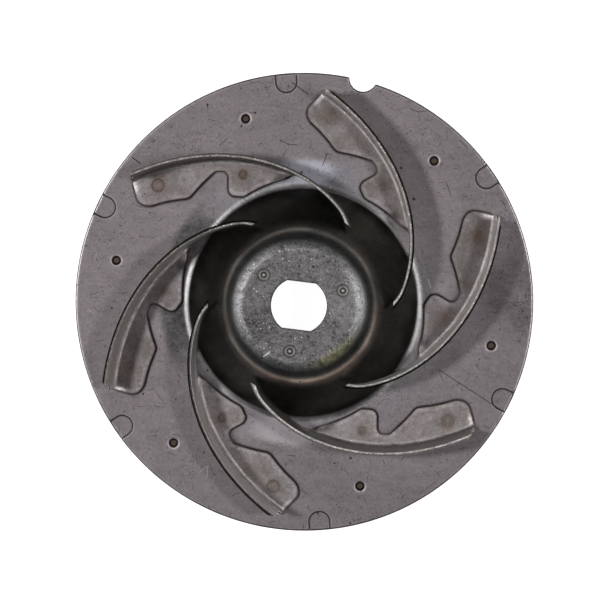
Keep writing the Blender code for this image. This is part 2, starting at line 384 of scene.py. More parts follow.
def sheet_mesh(name, points, faces, loops, surface, marks, levels):
    """Closes a plan into a sheet: a front, a back, and a rim along each loop.

    surface(points, level, near) gives places at a level from 0, the back, to 1, the front, where
    near is a point's distance from the outline. marks(points, level) gives named values there,
    which the materials read.
    """
    near = np.min([distance_to(loop, points) for loop in loops], axis=0)
    layers = [(points, 1, near), (points, 0, near)]
    quads = []
    start, total = 0, 2 * len(points)
    for loop in loops:
        size = len(loop)
        first = np.arange(start, start + size)
        layers += [(points[first], level, np.zeros(size)) for level in levels]
        between = [total + size * index + first - start for index in range(len(levels))]
        rows = [first, *between, first + len(points)]
        for upper, lower in zip(rows, rows[1:]):
            quads += np.stack([upper, lower, np.roll(lower, -1), np.roll(upper, -1)], axis=1).tolist()
        start += size
        total += size * len(levels)
    verts = np.concatenate([surface(*layer) for layer in layers]) * MM
    all_faces = faces.tolist() + (faces[:, ::-1] + len(points)).tolist() + quads
    mesh = bpy.data.meshes.new(name)
    mesh.from_pydata(verts.tolist(), [], all_faces)
    slots = np.zeros(len(all_faces), np.int32)
    slots[-len(quads):] = 1
    found = [{"edge": np.exp(-near / EDGE_REACH), **marks(plan, level)} for plan, level, near in layers]
    for key in found[0]:
        values = np.concatenate([block[key] for block in found]).astype(np.float32)
        kind, field = ("FLOAT_VECTOR", "vector") if values.ndim == 2 else ("FLOAT", "value")
        mesh.attributes.new(key, kind, "POINT").data.foreach_set(field, values.ravel())
    mesh.shade_smooth()
    mesh.validate()
    mesh.update()
    return mesh, slots


def hub_tilt(radius):
    """Slope of the hub's surface at each radius."""
    top = np.arcsin(np.clip((radius - HUB_TOP_RADIUS) / HUB_TOP_BEND, 0, sin(HUB_WALL_ANGLE)))
    foot = np.arcsin(np.clip((HUB_FOOT_RADIUS - radius) / HUB_FOOT_BEND, 0, sin(HUB_WALL_ANGLE)))
    runout_end = HUB_FOOT_RADIUS - HUB_FOOT_BEND * sin(HUB_RUNOUT_ANGLE) + HUB_RUNOUT_LENGTH
    runout = HUB_RUNOUT_ANGLE * np.clip((runout_end - radius) / HUB_RUNOUT_LENGTH, 0, 1)
    return np.minimum(top, np.maximum(foot, runout))


PROFILE_RADII = np.arange(BORE_RADIUS - 2, 36, 0.01)
PROFILE_TILTS = hub_tilt(PROFILE_RADII)
PROFILE_HEIGHTS = np.cumsum(np.tan(PROFILE_TILTS[::-1]))[::-1]
PROFILE_HEIGHTS *= HUB_HEIGHT / PROFILE_HEIGHTS[0]


def hub_profile(radius):
    """Height of the hub above the disc, and its slope, at each radius."""
    return [np.interp(radius, PROFILE_RADII, values) for values in (PROFILE_HEIGHTS, PROFILE_TILTS)]


def disc_outline(step):
    """The rim, with the round notch and its softened corners, anticlockwise."""
    centre = polar(NOTCH_CENTRE, NOTCH_ANGLE)
    reach = NOTCH_RADIUS + NOTCH_CORNER
    inner = DISC_RADIUS - NOTCH_CORNER
    # Angle at the disc's centre between the notch and the centre of a corner's arc
    spread = acos((inner ** 2 + NOTCH_CENTRE ** 2 - reach ** 2) / (2 * inner * NOTCH_CENTRE))
    pieces = round(DISC_RADIUS * (tau - 2 * spread) / step)
    angles = NOTCH_ANGLE + spread + (tau - 2 * spread) * np.arange(pieces + 1) / pieces
    arcs, bearings = [], []
    for side, shares in ((-1, np.arange(1, 5) / 4), (1, np.arange(3, 0, -1) / 4)):
        outward = NOTCH_ANGLE + side * spread
        corner = polar(inner, outward)
        turn = (atan2(*(centre - corner)[::-1]) - outward + pi) % tau - pi
        arcs.append(corner + polar(NOTCH_CORNER, outward + turn * shares))
        bearings.append(atan2(*(corner - centre)[::-1]))
    sweep = (bearings[1] - bearings[0]) % -tau
    pieces = round(abs(sweep) * NOTCH_RADIUS / step * ARC_DENSITY)
    notch = centre + polar(NOTCH_RADIUS, bearings[0] + sweep * np.arange(1, pieces + 1) / pieces)
    return np.concatenate([polar(DISC_RADIUS, angles), arcs[0], notch, arcs[1]])


def bore_outline(step):
    """Circle of the bore, cut off by two flats, clockwise."""
    half = asin(BORE_HALF_FLATS / BORE_RADIUS)
    pieces = round(2 * half * BORE_RADIUS / step)
    points = []
    for side in (pi, 0):
        angles = BORE_TURN + side + half - 2 * half * np.arange(pieces + 1) / pieces
        points += list(polar(BORE_RADIUS, angles))
    return even_loop(np.array(points), step)


def mark_distance(points, angle):
    """Signed distance from the U of a rim mark, negative within it."""
    along, across = turned(points, -angle).T
    start = DISC_RADIUS - MARK_LENGTH + MARK_HALF
    behind = np.minimum(along - start, 0)
    return np.hypot(behind, across) - MARK_HALF


def disc_height(points):
    """Height of dimples and rim marks above the plain surface."""
    height = np.zeros(len(points))
    for turn, dimple in zip(TURNS, DIMPLES):
        away = lengths(points - dimple)
        height -= DIMPLE_DEPTH * (1 - smooth(away, DIMPLE_BOTTOM, DIMPLE_MOUTH))
        height -= DIMPLE_LIP_DEPTH * (1 - smooth(away, DIMPLE_MOUTH - 0.05, DIMPLE_LIP))
        mark = mark_distance(points, MARK_ANGLE + turn)
        height -= MARK_DEPTH * (1 - smooth(mark, -MARK_INSIDE, MARK_LIP))
    for dimple in HUB_DIMPLES:
        away = lengths(points - dimple)
        height -= HUB_DIMPLE_DEPTH * (1 - smooth(away, HUB_DIMPLE_GROOVE, HUB_DIMPLE_LIP))
        height += HUB_DIMPLE_DOME * (1 - smooth(away, 0, HUB_DIMPLE_GROOVE))
    return height


def roll(near, width, depth):
    """How far a rounded edge falls away, near the outline."""
    share = np.clip(1 - near / width, 0, 1)
    return depth * (1 - np.sqrt(1 - share * share))


def disc_surface(points, level, near):
    """Places of plan points at a level through the disc's sheet, with the hub drawn up."""
    radius = lengths(points)
    height, tilt = hub_profile(radius)
    outward = points / radius[:, None]
    normal = np.column_stack([outward * np.sin(tilt)[:, None], np.cos(tilt)])
    front = np.column_stack([points, height + DISC_SHEET])
    fall = roll(near, *DISC_ROLL)
    rise = roll(near, *DISC_BURR)
    depth = fall + (DISC_SHEET - fall - rise) * (1 - level)
    result = front - normal * depth[:, None]
    if level == 1:
        result[:, 2] += disc_height(points)
    return result


def pattern_up(w):
    """y on the flat pattern of a foot's point, from its distance to the wall's convex face."""
    return -(w - BEND_OUTSIDE) - BEND_LENGTH


def on_pattern(places):
    """Middles of the welds or the faint stretches on the flat pattern."""
    return np.array([(run, pattern_up(w)) for run, w, *_ in places])


def faded(points, places):
    """What the faint stretches leave of the dirt along a foot."""
    left = np.ones(len(points))
    for place, (_, _, reach, loss) in zip(places, FAINT_EDGES):
        left *= 1 - loss * bell(lengths(points - place), 0, reach)
    return left


def laid_out(pattern):
    """Plan places on the disc of points on the first vane's flat pattern."""
    return vane_surface(pattern, 0, np.full(len(pattern), FAR))[:, :2]


def foot_lines(edge, distance):
    """Plan points along each foot's outline, at a distance outside it."""
    moved = inset(edge, -distance)
    moved = moved[moved[:, 1] < -BEND_LENGTH]
    moved = moved[distance_to(edge, moved) > distance * 0.9]
    plan = laid_out(moved)
    plan = plan[lengths(plan) > HUB_FOOT_RADIUS - 0.3]
    return np.concatenate([turned(plan, -turn) for turn in TURNS])


def disc_marks(edge):
    """Dirt and painted shade in hollows and along the feet, bright rings as painted highlights on the
    front, and heat marks of the welds on the back.
    """
    foot = laid_out(edge[edge[:, 1] < -BEND_LENGTH])
    welds, faint = laid_out(on_pattern(WELDS)), laid_out(on_pattern(FAINT_EDGES))

    def marks(points, level):
        grime, hole, heat, lip, gleam = np.zeros((5, len(points)))
        for dimple in HUB_DIMPLES:
            away = lengths(points - dimple)
            grime = np.maximum(grime, rings(away, HUB_DIMPLE_SHADE))
            gleam = np.maximum(gleam, rings(away, HUB_DIMPLE_GLEAM))
        for turn, dimple in zip(TURNS, DIMPLES):
            away = lengths(points - dimple)
            outside = smooth(away, *HOLE_STEP)
            hole = np.maximum(hole, 1 - outside)
            grime = np.maximum(grime, smooth(away, *DIMPLE_SHADE_STEP) * (1 - outside))
            lip = np.maximum(lip, LIP_STRENGTH * outside * (1 - smooth(away, *LIP_STEP)))
            mark = mark_distance(points, MARK_ANGLE + turn)
            grime = np.maximum(grime, rings(mark, MARK_SHADE))
            lip = np.maximum(lip, rings(mark, MARK_GLEAM))
            local = turned(points, turn)
            for weld in welds:
                heat = np.maximum(heat, rings(lengths(local - weld), HEAT_MARKS))
            close = lengths(local - foot.mean(axis=0)) < FOOT_REACH
            line = bell(distance_to(foot, local[close], closed=False), 0, FOOT_LINE_WIDTH)
            grime[close] = np.maximum(grime[close], line * faded(local[close], faint))
        found = {"grime": grime, "hole": hole, "lip": lip, "gleam": gleam}
        return {"heat": heat * (1 - level), **{name: value * level for name, value in found.items()}}

    return marks


def build_disc(edge):
    """The disc's mesh, with dirt and painted contact shadow along the outline of the vanes' feet."""
    loops = [disc_outline(RIM_STEP), bore_outline(BORE_STEP)]
    insets = [inset(loop, distance) for distance in DISC_EDGE_ROWS for loop in loops]
    fixed = np.concatenate(loops + insets)
    features = []
    start = DISC_RADIUS - MARK_LENGTH + MARK_HALF
    for turn, dimple in zip(TURNS, DIMPLES):
        features += target(dimple, DIMPLE_ROWS)
        for offset in MARK_ROWS:
            half = MARK_HALF + offset
            arc = np.array((start, 0)) + polar(half, pi * (0.5 + np.arange(45) / 44))
            legs = np.arange(start + 0.25, DISC_RADIUS - 0.75, 0.25)
            sides = [np.column_stack([legs, np.full(len(legs), side * half)]) for side in (-1, 1)]
            features.append(turned(np.concatenate([arc, *sides]), MARK_ANGLE + turn))
    for dimple in HUB_DIMPLES:
        features += target(dimple, HUB_DIMPLE_ROWS)
    features = np.vstack(features)
    lines = np.concatenate([foot_lines(edge, distance) for distance in FOOT_LINE_ROWS])
    lines = thin_out(lines, features, 0.3)
    lines = thin_out(lines, fixed, 0.3)
    features = np.concatenate([features, thin_out_self(lines, 0.09)])
    radii = np.concatenate([
        np.arange(8.2, HUB_TOP_RADIUS - 0.3, 0.8),
        HUB_TOP_RADIUS + HUB_TOP_BEND * np.sin(np.linspace(0, HUB_WALL_ANGLE, 19)),
        np.linspace(HUB_TOP_END, HUB_FOOT_START, 18)[1:-1],
        HUB_FOOT_RADIUS - HUB_FOOT_BEND * np.sin(np.linspace(HUB_WALL_ANGLE, HUB_RUNOUT_ANGLE, 13)),
        np.arange(HUB_FOOT_RADIUS + 0.2, HUB_FOOT_RADIUS + 1.6, 0.35),
        np.arange(HUB_FOOT_RADIUS + 2.3, 59.2, 1.1),
    ])
    web = []
    for index, radius in enumerate(radii):
        count = max(72, int(min(radius, 30) * 7.5))
        web.append(ring((0, 0), radius, count, (index % 2) * pi / count))
    web = thin_out(np.vstack(web), features, 0.55)
    web = thin_out(web, fixed, 0.45)
    points = np.concatenate([fixed, features, web])
    faces = triangulate(points, loops)
    marks = disc_marks(edge)
    return sheet_mesh("disc_sheet", points, faces, loops, disc_surface, marks, DISC_RIM_LEVELS)


def vane_surface(points, level, near):
    """Bends the flat pattern of a vane, where y is 0 at the bend's top, and lays it along its spiral."""
    run, up = points[:, 0], points[:, 1]
    foot = 1 - smooth(up, -BEND_LENGTH - 0.3, -0.5)
    lower = roll(near, *edge_roll(foot, CONVEX_ROLL, 0.1))
    upper = roll(near, *edge_roll(foot, CONCAVE_ROLL, FOOT_ROLL))
    depth = lower + (VANE_SHEET - lower - upper) * level
    turn = np.clip(-up / BEND_MIDDLE, 0, pi / 2)
    reach = BEND_OUTSIDE - depth
    flat = np.maximum(-up - BEND_LENGTH, 0)
    w = BEND_OUTSIDE - reach * np.cos(turn) + flat
    z = BEND_OUTSIDE - reach * np.sin(turn) + np.maximum(up, 0)
    straight = smooth(run, *STRAIGHT_RUNS)
    w = w * (1 - straight) + depth * straight
    z = z * (1 - straight) + (BEND_OUTSIDE + up) * straight
    if level == 1:
        z = z + weld_height(points) * smooth(-up, BEND_LENGTH, BEND_LENGTH + 0.3)
    left = VANE_LENGTH - run
    curl = VANE_CURL * np.clip(1 - left / VANE_CURL_RUN, 0, None) ** 2
    foot_shift = FOOT_END_START - FOOT_END_SLANT * w
    wall_shift = (START_RADIUS - VANE_TIP_RADIUS - w * cos(VANE_SLOPE)) / sin(VANE_SLOPE)
    outer = foot_shift + (wall_shift - foot_shift) * smooth(z, *FOOT_END_HEIGHTS)
    inner = -w / tan(VANE_SLOPE)
    shift = outer * np.clip(1 - run / VANE_END_FADE, 0, 1)
    shift += inner * np.clip(1 - left / VANE_END_FADE, 0, 1)
    radius = START_RADIUS - run * sin(VANE_SLOPE)
    angle = START_ANGLE - np.log(START_RADIUS / radius) / tan(VANE_SLOPE)
    along = polar(1, angle - pi / 2 - VANE_SLOPE)
    across = polar(1, angle + pi - VANE_SLOPE)
    plan = polar(radius, angle) + across * (w + curl)[:, None] + along * shift[:, None]
    climb = np.clip(TIP_RISE_RADIUS - lengths(plan), 0, 2.5)
    z = z + TIP_RISE_CURVE / 2 * climb ** 2 * smooth(run, *TIP_RISE_RUNS) * foot * (1 - straight)
    return np.column_stack([plan, z + SEAT])


def edge_roll(foot, on_wall, on_foot):
    """Width and depth of an edge's roll, between the wall's and the foot's."""
    width = on_wall + (on_foot - on_wall) * foot
    return width, width * 0.92


def vane_marks(copy):
    """What one vane's materials read: place on the pattern, level, marks and tones."""
    def marks(points, level):
        run, up = points[:, 0], points[:, 1]
        w = -up - BEND_LENGTH + BEND_OUTSIDE
        weld, stain = np.zeros((2, len(points)))
        for place, (*_, radius) in zip(on_pattern(WELDS), WELDS):
            away = lengths(points - place)
            weld = np.maximum(weld, rings(away, ((radius, 0.34, 1), (radius * 0.48, 0.26, 0.8))))
            stain = np.maximum(stain, bell(away, 0, radius + 0.9))
        # Painted highlights: a patch at the foot's outer end and a spot at its inner tip.
        shine = 0.8 * bell(run, 0.5, 0.7) * smooth(w, 1, 1.8) * (1 - smooth(w, 3, 5.5))
        shine = np.maximum(shine, TIP_HIGHLIGHTS[copy] * bell(run, 42.2, 1.1) * bell(w, 3, 0.9))
        return {
            "pattern": np.column_stack([run, up, np.full(len(points), 40 * copy)]),
            "level": np.full(len(points), level),
            "line": faded(points, on_pattern(FAINT_EDGES)),
            "shine": shine * level,
            "weld": weld * WELD_RINGS[copy] * level,
            "stain": stain * WELD_STAINS[copy] * level,
            **{key: np.full(len(points), tones[copy]) for key, tones in VANE_TONES.items()},
        }

    return marks


def weld_height(points):
    """The shallow ring that each spot weld leaves on the foot."""
    height = np.zeros(len(points))
    for place, (*_, radius) in zip(on_pattern(WELDS), WELDS):
        away = lengths(points - place)
        height -= 0.02 * bell(away, radius, 0.2)
        height -= 0.03 * (1 - smooth(away, radius - 0.3, radius + 0.3))
    return height


def pattern_edge():
    """The flat pattern's outline, anticlockwise: outer end, foot, hub side, inner end, top."""
    top = VANE_HEIGHT - BEND_OUTSIDE
    return rounded_loop([
        (0, top, 0.25),
        *[(run, pattern_up(w), radius) for run, w, radius in FOOT_EDGE],
        (46.5, -BEND_OUTSIDE + HUB_CLEARANCE, 2),
        *[(run, wall_bottom(run), 0) for run in np.arange(50, VANE_LENGTH, 1)],
        (VANE_LENGTH, wall_bottom(VANE_LENGTH), 0.2),
        (VANE_LENGTH, top, 0.25),
    ], PATTERN_STEP)


def wall_bottom(run):
    """y on the pattern of the wall's lower edge where it climbs over the hub."""
    radius = START_RADIUS - run * sin(VANE_SLOPE)
    curl = VANE_CURL * max(0, 1 - (VANE_LENGTH - run) / VANE_CURL_RUN) ** 2
    nearest = radius - (VANE_SHEET + curl) * cos(VANE_SLOPE) - HUB_CLEARANCE
    height, _ = hub_profile(np.array([nearest]))
    return float(height[0]) + HUB_CLEARANCE - BEND_OUTSIDE


def build_vane_pattern():
    """Points, triangles and outline of the vanes' flat pattern."""
    edge = pattern_edge()
    welds = []
    for place, (*_, radius) in zip(on_pattern(WELDS), WELDS):
        welds += [place[None]] + [ring(place, radius + share, 32) for share in WELD_ROWS]
    welds = np.vstack(welds)
    rows = np.concatenate([
        np.arange(VANE_HEIGHT - BEND_OUTSIDE - 1, 0.3, -1.1),
        np.arange(0, -BEND_LENGTH - 0.01, -BEND_LENGTH / 10),
        np.arange(-BEND_LENGTH - 0.7, -12, -0.8),
    ])
    grid = []
    for index, up in enumerate(rows):
        runs = np.arange(0.4 + 0.45 * (index % 2), VANE_LENGTH, 0.9)
        grid.append(np.column_stack([runs, np.full(len(runs), up)]))
    grid = np.vstack(grid)
    grid = grid[inside(edge, grid)]
    grid = grid[distance_to(edge, grid) > 0.85]
    grid = thin_out(grid, welds, 0.35)
    insets = clean_insets(edge, np.concatenate([inset(edge, distance) for distance in EDGE_ROWS]))
    points = np.concatenate([edge, insets, welds, grid])
    return points, triangulate(points, [edge]), [edge]


def clean_insets(edge, points):
    """Leaves out inset points that tight corners pushed together or outside."""
    points = points[inside(edge, points)]
    points = points[distance_to(edge, points) > 0.03]
    kept = []
    for point in points:
        if all(abs(point[0] - x) + abs(point[1] - y) > 0.05 for x, y in kept[-400:]):
            kept.append(point)
    return np.array(kept)


class Steel:
    """The nodes of one worn steel. Lengths and places are in millimetres."""

    def __init__(self, name):
        self.material = bpy.data.materials.new(name)
        self.material.use_nodes = True
        self.tree = self.material.node_tree
        self.shader = self.tree.nodes["Principled BSDF"]
        self.shader.inputs["Metallic"].default_value = 1
        coords = self.node("TexCoord").outputs["Object"]
        self.place = self.vector("SCALE", coords, Scale=1 / MM)

    def node(self, kind, *values, operation=None, **named):
        """A new node, with its sockets set or linked in order or by name."""
        node = self.tree.nodes.new("ShaderNode" + kind)
        if operation:
            node.operation = operation
        for socket, value in zip(node.inputs, values):
            self.put(socket, value)
        for name, value in named.items():
            self.put(node.inputs[name], value)
        return node

    def put(self, socket, value):
        """Links a socket, or sets its value."""
        if isinstance(value, bpy.types.NodeSocket):
            self.tree.links.new(value, socket)
        else:
            socket.default_value = value

    def math(self, operation, *values):
        return self.node("Math", *values, operation=operation).outputs["Value"]

    def vector(self, operation, *values, **named):
        outputs = self.node("VectorMath", *values, operation=operation, **named).outputs
        return outputs["Value" if operation in ("LENGTH", "DOT_PRODUCT") else "Vector"]

    def noise(self, size, detail=2, rough=0.5, shift=0, place=None):
        """Noise about 0, mostly between -1 and 1, with features of a size."""
        place = self.place if place is None else place
        place = self.vector("ADD", place, (shift, 2.3 * shift, -shift))
        node = self.node("TexNoise", Vector=place, Scale=1 / size, Detail=detail, Roughness=rough)
        return self.math("MULTIPLY_ADD", node.outputs["Fac"], 4, -2)

    def rise(self, value, low, high):
        """0 at low, 1 at high, and a smooth rise between them."""
        node = self.node("MapRange", value, low, high)
        node.interpolation_type = "SMOOTHSTEP"
        return node.outputs["Result"]

    def fall(self, value, low, high):
        """1 at low, 0 at high, and a smooth fall between them."""
        return self.math("SUBTRACT", 1, self.rise(value, low, high))

    def split(self, vector):
        """A vector's x, y and z."""
        return self.node("SeparateXYZ", vector).outputs

    def tint(self, share, first, second):
        """Colour between a first and a second one."""
        node = self.node("Mix")
        node.data_type = "RGBA"
        self.put(node.inputs["Factor"], self.whole(share))
        for socket, colour in zip(node.inputs[6:8], (first, second)):
            self.put(socket, colour if isinstance(colour, bpy.types.NodeSocket) else (*colour, 1))
        return node.outputs[2]

    def coat(self, share, colour):
        """Covers a share of the steel's colour by another one."""
        self.colour = self.tint(share, self.colour, colour)

    def shade(self, share):
        """Makes the steel's colour lighter or darker."""
        self.colour = self.vector("SCALE", self.colour, Scale=share)

    def mark(self, name, output="Fac"):
        """A named value that the mesh carries."""
        node = self.node("Attribute")
        node.attribute_name = name
        return node.outputs[output]

    def pits(self, size, reach, share, shift=0):
        """1 within scattered pits of about a reach, one in a share of the cells of a size."""
        drift = self.node("TexNoise", Vector=self.place, Scale=2.5 / size).outputs["Color"]
        place = self.vector("MULTIPLY_ADD", drift, (size / 4,) * 3, self.place)
        place = self.vector("ADD", place, (shift, -shift, shift))
        node = self.node("TexVoronoi", Vector=place, Scale=1 / size)
        away = self.times(node.outputs["Distance"], size)
        own = self.node("SeparateColor", node.outputs["Color"]).outputs["Red"]
        return self.times(self.fall(away, reach * 0.55, reach), self.math("LESS_THAN", own, share))

    def scuffs(self, size, length, width, share, shift=0):
        """1 along short scratches in all directions, one in a share of the cells of a size."""
        place = self.vector("ADD", self.place, (shift, -shift, 0))
        node = self.node("TexVoronoi", Vector=place, Scale=1 / size)
        node.voronoi_dimensions = "2D"
        own = self.node("SeparateColor", node.outputs["Color"]).outputs
        offset = self.vector("SUBTRACT", place, node.outputs["Position"])
        spin = self.node("VectorRotate", Vector=offset, Angle=self.times(own["Green"], tau))
        spin.rotation_type = "Z_AXIS"
        local = self.split(spin.outputs["Vector"])
        bow = self.times(local["X"], local["X"], own["Blue"], 0.16)
        bow = self.add(bow, (self.noise(0.8, shift=shift), width * 0.9))
        beside = self.math("ABSOLUTE", self.add(local["Y"], bow))
        beyond = self.math("DIVIDE", self.math("ABSOLUTE", local["X"]), self.add(own["Blue"], 0.25))
        return self.times(
            self.fall(beside, width * 0.3, width),
            self.fall(beyond, length * 0.3, length * 0.5),
            self.math("LESS_THAN", own["Red"], share),
        )

    def spot(self, centre, inner, outer, height=DISC_SHEET):
        """1 within a distance of a place, and 0 beyond a larger one."""
        away = self.vector("LENGTH", self.vector("SUBTRACT", self.place, (*centre, height)))
        return self.fall(away, inner, outer)

    def stroke(self, x0, y0, x1, y1, width):
        """1 along a straight scratch between two plan places."""
        flat = self.vector("MULTIPLY", self.place, (1, 1, 0))
        start = Vector((x0, y0, 0))
        way = Vector((x1, y1, 0)) - start
        offset = self.vector("SUBTRACT", flat, start)
        share = self.vector("DOT_PRODUCT", offset, way / way.length_squared)
        share = self.math("MINIMUM", self.both(share, 0), 1)
        nearest = self.vector("SCALE", tuple(way), Scale=share)
        away = self.vector("LENGTH", self.vector("SUBTRACT", offset, nearest))
        return self.fall(away, width * 0.3, width)

    def strokes(self, scratches):
        """The strongest of some scratches at each place."""
        return self.both(*[(self.stroke(*line), strength) for *line, strength in scratches])

    def whole(self, part):
        """A part of a sum, maximum or tint, where a tuple stands for a product."""
        return self.times(*part) if isinstance(part, tuple) else part

    def chain(self, operation, parts):
        """Parts joined one after another by an operation."""
        result = self.whole(parts[0])
        for part in parts[1:]:
            result = self.math(operation, result, self.whole(part))
        return result

    def add(self, *parts):
        return self.chain("ADD", parts)

    def times(self, *parts):
        return self.chain("MULTIPLY", parts)

    def both(self, *parts):
        """The largest of some masks."""
        return self.chain("MAXIMUM", parts)

    def finish(self, roughness, height):
        """Joins the colour, a roughness and a height to the shader."""
        roughness = self.math("MINIMUM", self.both(roughness, 0.12), 0.95)
        normal = self.node("Bump", Distance=MM, Height=height).outputs["Normal"]
        for name, value in (("Base Color", self.colour), ("Roughness", roughness), ("Normal", normal)):
            self.put(self.shader.inputs[name], value)
        return self.material

    def band(self, value, low, first, last, high):
        """1 from first to last, and 0 below low and above high."""
        return self.times(self.rise(value, low, first), self.fall(value, last, high))


def disc_steel():
    """Scuffed outside, burnished where the die drew it, and mottled on the hub's top."""
    s = Steel("disc_face")
    radius = s.vector("LENGTH", s.vector("MULTIPLY", s.place, (1, 1, 0)))
    place = s.split(s.place)
    angle = s.math("ARCTAN2", place["Y"], place["X"])
    # Long along a radius and short round the axis
    spokes = s.node("CombineXYZ", s.times(angle, 33), s.times(radius, 0.08)).outputs["Vector"]
    front = s.rise(place["Z"], 0.3, 1.2)
    flat = s.rise(radius, 31, 32)
    top = s.fall(radius, 13.4, 15.6)
    wall = s.band(radius, 17, 18.9, 29.4, 30)
    # A ring round the top of the hub's wall, painted lighter and brown: a painted reflection.
    ring_reflection = s.band(radius, 17.4, 19.3, 19.6, 21.9)
    pressed = s.band(radius, 30.8, 31.6, 36.2, 38.6)
    drawn = s.times(s.band(radius, 29.4, 30.2, 31.3, 32.3), 7)
    drawn = s.add(drawn, s.band(radius, 31, 32, 35.6, 38))
    broad = s.noise(16, detail=3)
    cloud = s.noise(6, detail=4, rough=0.6, shift=31)
    mottle = s.noise(1.6, detail=4, rough=0.7, shift=3)
    fine = s.noise(0.55, rough=0.6, shift=5)
    grain = s.noise(0.3, rough=0.6, shift=7)
    streaks = s.noise(0.3, rough=0.6, place=spokes)
    s.colour = s.tint(s.rise(radius, 24, 26), (0.24, 0.235, 0.237), (0.34, 0.33, 0.335))
    s.coat(flat, (0.405, 0.367, 0.382))
    s.coat(pressed, (0.325, 0.302, 0.318))
    s.coat(top, (0.31, 0.295, 0.3))
    swirl = s.noise(2.4, detail=3, rough=0.6, shift=33, place=spokes)
    uneven = s.add(1, (swirl, 0.13), (cloud, 0.2))
    # The hub's wall is painted near black: painted shade.
    s.coat(wall, s.vector("SCALE", (0.112, 0.112, 0.102), Scale=uneven))
    # The pressed ring is painted darker on the left: painted shade.
    shaded_left = s.times(pressed, s.spot((-38, 4), 14, 32))
    # Lighter patches on the pressed ring, below and above the hub: painted highlights.
    lit_patches = s.both(s.spot((-5, -35), 4, 12), s.spot((1.2, 34.8), 3, 9))
    lit_patches = s.times(pressed, lit_patches)
    # A bluish painted reflection on the pressed ring above the hub.
    sheen = s.times(pressed, s.spot((2, 36), 3, 15))
    s.coat((sheen, 0.7), (0.36, 0.365, 0.42))
    # The rolled rim is painted lighter and is smoother: burnished, and partly a painted highlight.
    rolled = s.times(s.rise(s.mark("edge"), 0.1, 0.4), flat)
    # The hub's right shoulder is painted lighter: painted highlight.
    lit_shoulder = s.times(s.spot((16, 1), 4, 10, HUB_HEIGHT), s.math("SUBTRACT", 1, wall))
    # The ring's painted reflection is lighter and browner below and to the right.
    lit_ring_reflection = s.times(ring_reflection, s.spot((6, -17), 6, 28, HUB_HEIGHT))
    tinged = s.band(radius, 13.4, 15.4, 15.8, 17.8)
    tinged = s.times(tinged, s.spot((9.2, -12.8), 1, 10, HUB_HEIGHT))
    s.coat((tinged, 0.7), (0.42, 0.39, 0.2))
    rim = s.fall(radius, 15.4, 17.2)
    dim = s.times(top, s.spot((-11, -4.5), 1.5, 8, HUB_HEIGHT + DISC_SHEET))
    brown = s.tint(lit_ring_reflection, (0.16, 0.142, 0.128), (0.25, 0.19, 0.16))
    s.coat((ring_reflection, s.rise(cloud, -2.2, 0.3), 0.9), brown)
    pits = s.both(s.pits(4.2, 0.42, 0.3), (s.pits(2.4, 0.3, 0.2, shift=9), 0.7))
    patch = s.rise(s.noise(9, shift=41), 0.1, 0.8)
    peppered = s.times(s.pits(0.7, 0.26, 0.5, shift=15), patch)
    specks = s.times(s.pits(0.6, 0.2, 0.5, shift=5), rim)
    sparkling = s.rise(s.noise(5, shift=91), -0.5, 0.7)
    glints = s.times(s.pits(0.8, 0.24, 0.5, shift=25), s.both((rim, sparkling), 0.08))
    dirt = s.rise(s.spot((57, 2), 2, 17), 0, 0.8)
    dirt = s.times(dirt, s.rise(cloud, -1.2, 0.6))
    soiled = s.times(s.rise(cloud, 0.1, 1.2), flat)
    wiped = s.vector("MULTIPLY", s.place, (0.55, 1.6, 1))
    smear = s.noise(3, detail=4, rough=0.6, shift=81, place=wiped)
    scuffs = s.both(
        s.scuffs(5, 2.6, 0.11, 0.58),
        (s.scuffs(2.6, 1.2, 0.11, 0.55, shift=4), 0.85),
        (s.scuffs(11, 6.5, 0.08, 0.6, shift=23), 0.5),
    )
    scuffs = s.times(scuffs, flat, front, s.rise(mottle, -0.9, 0.4))
    shiny = s.times(s.scuffs(4.4, 2, 0.09, 0.45, shift=61), flat, front, s.rise(mottle, -0.6, 0.5))
    # In this shade, the lips of the dimples and of the rim marks are lighter: burnished, and partly a
    # painted highlight.
    shade = s.add(
        1, (broad, 0.13), (cloud, 0.13), (smear, 0.12),
        (mottle, s.math("MULTIPLY_ADD", rim, 0.5, 0.1)),
        (fine, s.math("MULTIPLY_ADD", rim, 0.27, 0.14)), (rolled, 0.3), (lit_shoulder, 0.3),
        (s.mark("lip"), 0.2), (shiny, 0.5), (glints, 1.9), (shaded_left, -0.62), (lit_ring_reflection, 0.8), (dim, -0.3),
        (lit_patches, 0.75), (specks, -0.5), (soiled, -0.15), (dirt, -0.4), (peppered, front, -0.45),
    )
    s.shade(s.both(shade, DARKEST))
